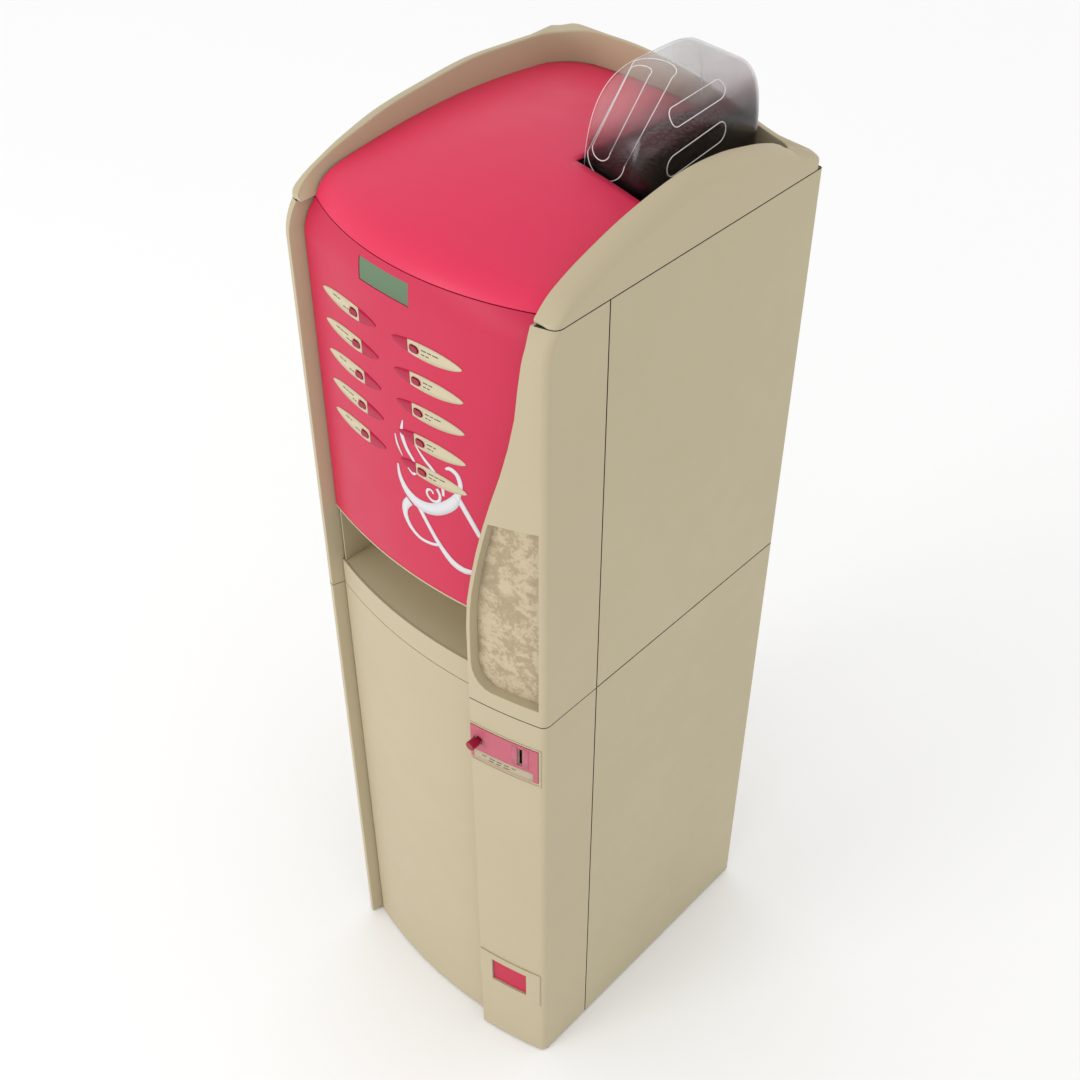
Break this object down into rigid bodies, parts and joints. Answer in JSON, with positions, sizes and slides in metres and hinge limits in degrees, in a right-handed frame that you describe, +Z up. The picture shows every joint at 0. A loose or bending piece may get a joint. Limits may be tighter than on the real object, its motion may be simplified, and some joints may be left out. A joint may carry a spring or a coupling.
{
  "type": "hot drinks vending machine",
  "caption": "Free-standing hot drinks vending machine: drinks unit on a base cabinet, hinged doors, selection buttons, cup bay, bean hopper and coin column.",
  "frame": {"origin": "bottom centre of the bounding box, on the floor", "axes": "+Z up, -Y out of the front, +X to the right of someone facing the front"},
  "size_m": [0.4815, 0.6094, 1.7664],
  "materials": {
    "beige_steel": "satin powder coat",
    "beige_moulding": "fine moulded grain",
    "bare_steel": "zinc plated",
    "lock_chrome": "polished",
    "pink_panel": "satin film",
    "pink_cover": "satin moulding",
    "crimson_plastic": "gloss",
    "marbled_inlay": "mottled stone print",
    "display": "green liquid crystal window",
    "circuit_board": "solder mask",
    "coin_label": "printed film",
    "hopper_clear": "clear moulded plastic, smoked towards its foot",
    "black_plastic": "fine grain",
    "rubber_feet": "matt",
    "grey_plastic": "fine grain",
    "boiler_metal": "cast",
    "tank_plastic": "translucent white",
    "tray_plastic": "fine grain"
  },
  "bodies": {
    "cabinet": {"levelling_foot_1": "rubber_feet", "levelling_foot_2": "rubber_feet", "levelling_foot_3": "rubber_feet", "levelling_foot_4": "rubber_feet", "base_left_panel": "beige_steel", "base_right_panel": "beige_steel", "base_rear_panel": "beige_steel", "base_plate": "bare_steel", "base_top_plate": "bare_steel", "unit_left_panel": "beige_steel", "unit_right_panel": "beige_steel", "unit_rear_panel": "beige_steel", "unit_floor_plate": "bare_steel", "unit_top_plate": "bare_steel", "mains_inlet": "black_plastic", "water_tank": "tank_plastic", "waste_bucket": "grey_plastic", "crown": "beige_moulding", "bean_tub": "black_plastic", "coffee_grinder": "grey_plastic", "brew_unit": "grey_plastic", "powder_canister_1": "tank_plastic", "powder_canister_2": "tank_plastic", "boiler": "boiler_metal"},
    "top_cover": {"top_cover": "pink_cover"},
    "hopper_dome": {"hopper_dome": "hopper_clear"},
    "upper_door": {"upper_left_pillar": "beige_moulding", "bay_sill": "beige_moulding", "service_column": "beige_moulding", "column_inlay": "marbled_inlay", "selection_panel": "pink_panel", "display_window": "display", "control_board": "circuit_board", "cup_bay": "beige_moulding", "dispensing_nozzle": "black_plastic", "upper_hinge_arm_top": "bare_steel", "upper_hinge_arm_bottom": "bare_steel"},
    "lower_door": {"lower_left_pillar": "beige_moulding", "lower_door_skin": "beige_moulding", "coin_column": "beige_moulding", "coin_plate": "coin_label", "coin_mechanism": "grey_plastic", "coin_return_cup": "beige_moulding", "lower_hinge_arm_top": "bare_steel", "lower_hinge_arm_bottom": "bare_steel"},
    "cup_tray": {"cup_tray": "tray_plastic"},
    "coin_reject_button": {"coin_reject_button": "crimson_plastic"},
    "coin_return_flap": {"coin_return_flap": "crimson_plastic"},
    "upper_door_lock": {"upper_door_lock": "lock_chrome"},
    "lower_door_lock": {"lower_door_lock": "lock_chrome"},
    "select_button_1": {"select_button_1": "crimson_plastic"},
    "select_button_2": {"select_button_2": "crimson_plastic"},
    "select_button_3": {"select_button_3": "crimson_plastic"},
    "select_button_4": {"select_button_4": "crimson_plastic"},
    "select_button_5": {"select_button_5": "crimson_plastic"},
    "select_button_6": {"select_button_6": "crimson_plastic"},
    "select_button_7": {"select_button_7": "crimson_plastic"},
    "select_button_8": {"select_button_8": "crimson_plastic"},
    "select_button_9": {"select_button_9": "crimson_plastic"},
    "select_button_10": {"select_button_10": "crimson_plastic"}
  },
  "joints": [
    {"name": "upper_door_hinge", "type": "hinge", "parent": "cabinet", "child": "upper_door", "pos_m": [0.24, -0.14148, 1.25], "axis": [0, 0, 1], "range_deg": [0, 100]},
    {"name": "lower_door_hinge", "type": "hinge", "parent": "cabinet", "child": "lower_door", "pos_m": [0.24, -0.14148, 0.45], "axis": [0, 0, 1], "range_deg": [0, 100]},
    {"name": "top_cover_lift", "type": "slide", "parent": "cabinet", "child": "top_cover", "axis": [0, 0, 1], "range_m": [0, 0.12]},
    {"name": "hopper_dome_lift", "type": "slide", "parent": "cabinet", "child": "hopper_dome", "axis": [0, 0, 1], "range_m": [0, 0.16]},
    {"name": "cup_tray_lift", "type": "slide", "parent": "upper_door", "child": "cup_tray", "axis": [0, 0, 1], "range_m": [0, 0.03]},
    {"name": "coin_reject_push", "type": "slide", "parent": "lower_door", "child": "coin_reject_button", "axis": [0, 1, 0], "range_m": [0, 0.006], "stiffness_N_per_m": 400},
    {"name": "coin_return_flap_hinge", "type": "hinge", "parent": "lower_door", "child": "coin_return_flap", "pos_m": [0.1715, -0.27148, 0.236], "axis": [0.9759, 0.2181, 0], "range_deg": [0, 65]},
    {"name": "upper_door_lock_turn", "type": "hinge", "parent": "upper_door", "child": "upper_door_lock", "pos_m": [-0.24, -0.16828, 1.2505], "axis": [1, 0, 0], "range_deg": [0, 90]},
    {"name": "lower_door_lock_turn", "type": "hinge", "parent": "lower_door", "child": "lower_door_lock", "pos_m": [-0.24, -0.16828, 0.5605], "axis": [1, 0, 0], "range_deg": [0, 90]},
    {"name": "select_button_1_push", "type": "slide", "parent": "upper_door", "child": "select_button_1", "axis": [0, 1, 0], "range_m": [0, 0.0025], "stiffness_N_per_m": 300},
    {"name": "select_button_2_push", "type": "slide", "parent": "upper_door", "child": "select_button_2", "axis": [0, 1, 0], "range_m": [0, 0.0025], "stiffness_N_per_m": 300},
    {"name": "select_button_3_push", "type": "slide", "parent": "upper_door", "child": "select_button_3", "axis": [0, 1, 0], "range_m": [0, 0.0025], "stiffness_N_per_m": 300},
    {"name": "select_button_4_push", "type": "slide", "parent": "upper_door", "child": "select_button_4", "axis": [0, 1, 0], "range_m": [0, 0.0025], "stiffness_N_per_m": 300},
    {"name": "select_button_5_push", "type": "slide", "parent": "upper_door", "child": "select_button_5", "axis": [0, 1, 0], "range_m": [0, 0.0025], "stiffness_N_per_m": 300},
    {"name": "select_button_6_push", "type": "slide", "parent": "upper_door", "child": "select_button_6", "axis": [0, 1, 0], "range_m": [0, 0.0025], "stiffness_N_per_m": 300},
    {"name": "select_button_7_push", "type": "slide", "parent": "upper_door", "child": "select_button_7", "axis": [0, 1, 0], "range_m": [0, 0.0025], "stiffness_N_per_m": 300},
    {"name": "select_button_8_push", "type": "slide", "parent": "upper_door", "child": "select_button_8", "axis": [0, 1, 0], "range_m": [0, 0.0025], "stiffness_N_per_m": 300},
    {"name": "select_button_9_push", "type": "slide", "parent": "upper_door", "child": "select_button_9", "axis": [0, 1, 0], "range_m": [0, 0.0025], "stiffness_N_per_m": 300},
    {"name": "select_button_10_push", "type": "slide", "parent": "upper_door", "child": "select_button_10", "axis": [0, 1, 0], "range_m": [0, 0.0025], "stiffness_N_per_m": 300}
  ]
}
